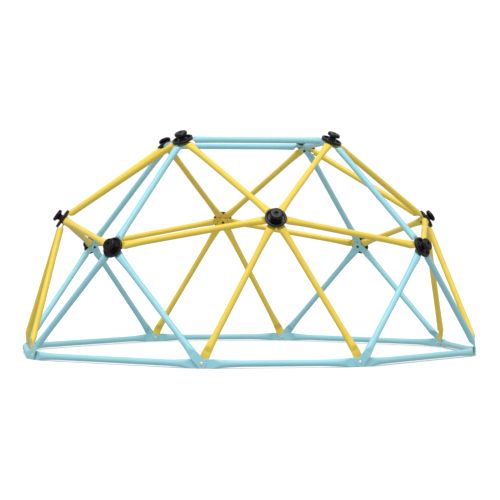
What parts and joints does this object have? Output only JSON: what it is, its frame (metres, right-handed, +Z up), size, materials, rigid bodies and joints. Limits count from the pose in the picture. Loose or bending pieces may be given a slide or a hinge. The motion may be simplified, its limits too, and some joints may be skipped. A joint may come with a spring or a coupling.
{
  "type": "dome climber",
  "caption": "Free-standing half-dome climbing frame of bolted tubes with flattened ends, with a round disc and a grip knob over each raised joint.",
  "frame": {"origin": "the middle of the dome on the ground", "axes": "+Z up; +X to the right and +Y to the back, seen from the front side, which has a six-tube joint in its middle. The dome repeats every quarter turn about +Z"},
  "size_m": [1.922, 1.922, 0.9502],
  "materials": {
    "yellow_powder_coat": "smooth satin powder coat on steel tube",
    "blue_powder_coat": "smooth satin powder coat on steel tube",
    "black_plastic": "moulded, fine satin grain",
    "black_steel": "black oxide",
    "zinc_steel": "bright zinc plate"
  },
  "bodies": {
    "root": {"front_upper_spoke_left": "yellow_powder_coat", "front_middle_spoke_left": "yellow_powder_coat", "front_lower_spoke_left": "yellow_powder_coat", "front_upper_spoke_right": "yellow_powder_coat", "front_middle_spoke_right": "yellow_powder_coat", "front_lower_spoke_right": "yellow_powder_coat", "right_upper_spoke_left": "yellow_powder_coat", "right_middle_spoke_left": "yellow_powder_coat", "right_lower_spoke_left": "yellow_powder_coat", "right_upper_spoke_right": "yellow_powder_coat", "right_middle_spoke_right": "yellow_powder_coat", "right_lower_spoke_right": "yellow_powder_coat", "back_upper_spoke_left": "yellow_powder_coat", "back_middle_spoke_left": "yellow_powder_coat", "back_lower_spoke_left": "yellow_powder_coat", "back_upper_spoke_right": "yellow_powder_coat", "back_middle_spoke_right": "yellow_powder_coat", "back_lower_spoke_right": "yellow_powder_coat", "left_upper_spoke_left": "yellow_powder_coat", "left_middle_spoke_left": "yellow_powder_coat", "left_lower_spoke_left": "yellow_powder_coat", "left_upper_spoke_right": "yellow_powder_coat", "left_middle_spoke_right": "yellow_powder_coat", "left_lower_spoke_right": "yellow_powder_coat", "front_top_bar": "blue_powder_coat", "front_right_rib": "blue_powder_coat", "front_ground_bar": "blue_powder_coat", "front_right_ground_bar": "blue_powder_coat", "front_leg_left": "blue_powder_coat", "front_leg_right": "blue_powder_coat", "right_top_bar": "blue_powder_coat", "back_right_rib": "blue_powder_coat", "right_ground_bar": "blue_powder_coat", "back_right_ground_bar": "blue_powder_coat", "right_leg_left": "blue_powder_coat", "right_leg_right": "blue_powder_coat", "back_top_bar": "blue_powder_coat", "back_left_rib": "blue_powder_coat", "back_ground_bar": "blue_powder_coat", "back_left_ground_bar": "blue_powder_coat", "back_leg_left": "blue_powder_coat", "back_leg_right": "blue_powder_coat", "left_top_bar": "blue_powder_coat", "front_left_rib": "blue_powder_coat", "left_ground_bar": "blue_powder_coat", "front_left_ground_bar": "blue_powder_coat", "left_leg_left": "blue_powder_coat", "left_leg_right": "blue_powder_coat", "top_discs": "black_plastic", "side_discs": "black_plastic", "corner_discs": "black_plastic", "top_knobs": "black_plastic", "side_knobs": "black_plastic", "corner_knobs": "black_plastic", "hub_bolts": "black_steel", "hub_nuts": "black_steel", "ground_bolts": "zinc_steel", "ground_nuts": "zinc_steel"}
  },
  "joints": []
}
